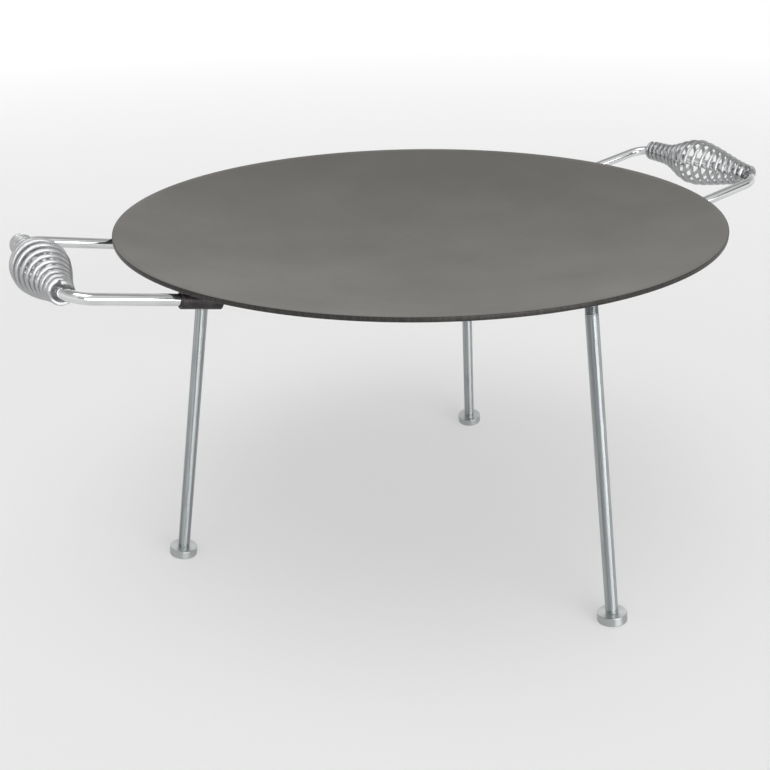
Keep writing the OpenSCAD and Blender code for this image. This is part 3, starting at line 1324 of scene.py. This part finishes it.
@dataclass(frozen=True)
class StudioSky:
    """Soft light from all round, bright at the horizon and dimmer overhead.

    A softbox stands low in front, dark flags beside and over it give the
    bright metal its contrast, and a soft canopy hangs high in front.
    """

    overhead: float = 0.5
    horizon: float = 1.35
    fade: float = 0.85
    box_turn: float = radians(-84)
    box_half: float = radians(26)
    box_top: float = radians(24)
    box_edge: float = radians(3)
    box_glow: float = 8.5
    flag_half: float = radians(50)
    flag_foot: tuple[float, float] = (radians(11), radians(15))
    flag_head: tuple[float, float] = (radians(32), radians(45))
    flag_depth: float = 0.85
    canopy_turn: float = radians(-95)
    canopy_rise: float = radians(54)
    canopy_half: float = radians(46)
    canopy_edge: float = radians(20)
    canopy_glow: float = 0.6

    def cone(
        self, n: Nodes, close: NodeSocket, half: float, edge: float, glow: float = 1.0
    ) -> NodeSocket:
        """Add light within half an angle of a direction, fading out at its edge."""
        return n.span(close, cos(half), cos(half - edge), 0, glow)

    def build(self) -> None:
        """Set up the light of the world."""
        world = bpy.data.worlds.new("studio_sky")
        world.use_nodes = True
        n = Nodes(world.node_tree)
        aim = n.add("TexCoord", "Generated", {})
        rise = n.height(aim)
        level = n.vector("NORMALIZE", n.stretch(aim, (1, 1, 0)))
        side = n.vector("DOT_PRODUCT", level, toward(self.box_turn))
        # Softbox low in front
        across = self.cone(n, side, self.box_half, self.box_edge)
        top, full = sin(self.box_top), sin(self.box_top - self.box_edge)
        box = n.sum(across, n.span(rise, top, full, 0, self.box_glow), "MULTIPLY")
        # Flags that darken the sky beside and over the softbox
        across = self.cone(n, side, self.flag_half, self.box_edge)
        over = n.span(rise, *map(sin, self.flag_foot))
        under = n.span(rise, *map(sin, self.flag_head), 1, 0)
        flags = n.sum(across, n.sum(over, under, "MULTIPLY"), "MULTIPLY")
        grade = n.span(rise, 0.0, self.fade, self.horizon, self.overhead)
        grade = n.sum(grade, n.span(flags, 0, 1, 1, 1 - self.flag_depth), "MULTIPLY")
        # Soft canopy high in front
        close = n.vector("DOT_PRODUCT", aim, toward(self.canopy_turn, self.canopy_rise))
        canopy = self.cone(n, close, self.canopy_half, self.canopy_edge, self.canopy_glow)
        light = n.sum(n.sum(grade, box), canopy)
        glow = n.add("Background", "Background", {"Strength": light})
        n.join(glow, n.node("OutputWorld").inputs["Surface"])
        bpy.context.scene.world = world


@dataclass(frozen=True)
class SoftLamp:
    """A square studio lamp overhead, in metres and watts."""

    place: Point = (-0.5, -0.5, 2.7)
    aim: Point = (0.0, 0.0, 0.25)
    side: float = 1.6
    power: float = 14.0

    def build(self) -> None:
        """Hang the lamp, out of the camera's sight."""
        data = bpy.data.lights.new("top_lamp", "AREA")
        data.shape, data.size, data.energy = "SQUARE", self.side, self.power
        obj = bpy.data.objects.new("top_lamp", data)
        obj.location = self.place
        ahead = Vector(self.aim) - Vector(self.place)
        obj.rotation_euler = ahead.to_track_quat("-Z", "Y").to_euler()
        obj.visible_camera = False
        bpy.context.scene.collection.objects.link(obj)


@dataclass(frozen=True)
class PhotoCamera:
    """The camera where the photograph was taken from.

    The yaw turns from +Y towards +X, the pitch looks down, and the focal
    length is in pixels of the square photograph.
    """

    eye: Point = (-0.5141, -0.8887, 0.6254)
    yaw: float = radians(28.103)
    pitch: float = radians(24.188)
    roll: float = radians(-1.047)
    focal_px: float = 1081.36
    frame_px: float = 770.0
    sensor_mm: float = 36.0
    clip: tuple[float, float] = (0.02, 100.0)

    def build(self) -> None:
        """Place the camera and look through it."""
        data = bpy.data.cameras.new("photo_camera")
        data.sensor_width = self.sensor_mm
        data.lens = self.focal_px / self.frame_px * self.sensor_mm
        data.clip_start, data.clip_end = self.clip
        ahead = toward(pi / 2 - self.yaw, -self.pitch)
        right = toward(-self.yaw)
        up = right.cross(ahead)
        tilted = cos(self.roll) * right + sin(self.roll) * up
        turned = cos(self.roll) * up - sin(self.roll) * right
        matrix = Matrix((tilted, turned, -ahead)).transposed().to_4x4()
        matrix.translation = self.eye
        obj = bpy.data.objects.new("photo_camera", data)
        obj.matrix_world = matrix
        bpy.context.scene.collection.objects.link(obj)
        bpy.context.scene.camera = obj


@dataclass
class Studio:
    """Pale floor, soft light and the camera at the photograph's angle."""

    floor_half: float = 24.0
    floor_cells: int = 8

    def build(self) -> None:
        """Set up the floor, the light, the camera and the view."""
        floor = Shape()
        bmesh.ops.create_grid(
            floor.bm,
            x_segments=self.floor_cells,
            y_segments=self.floor_cells,
            size=self.floor_half,
        )
        floor.piece("studio_floor", PaleFloor().make())
        StudioSky().build()
        SoftLamp().build()
        PhotoCamera().build()
        bpy.context.scene.view_settings.view_transform = "Standard"
        log.info("studio: floor, sky, lamp and camera")


def main() -> None:
    """Build the part piece by piece, then the studio round it."""
    logging.basicConfig(level=logging.INFO, format="%(name)s: %(message)s")
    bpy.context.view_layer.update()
    layout = Layout()
    steel, dark, weld = RolledSteel().make(), DarkSteel().make(), WeldMetal().make()
    GriddlePlate(layout).build(steel)
    for place in LegPlace:
        LegSocket(layout).build(place, dark, weld)
        ScrewLeg(layout).build(place)
    rod = BrightPlate("handle_bright_plate").make()
    for side in HandleSide:
        for row in ArmRow:
            ArmSleeve(layout).build(side, row, dark, weld)
        RodHandle(layout).build(side, rod)
        SpringGrip(layout).build(side)
    Studio().build()


if __name__ == "__main__":
    main()
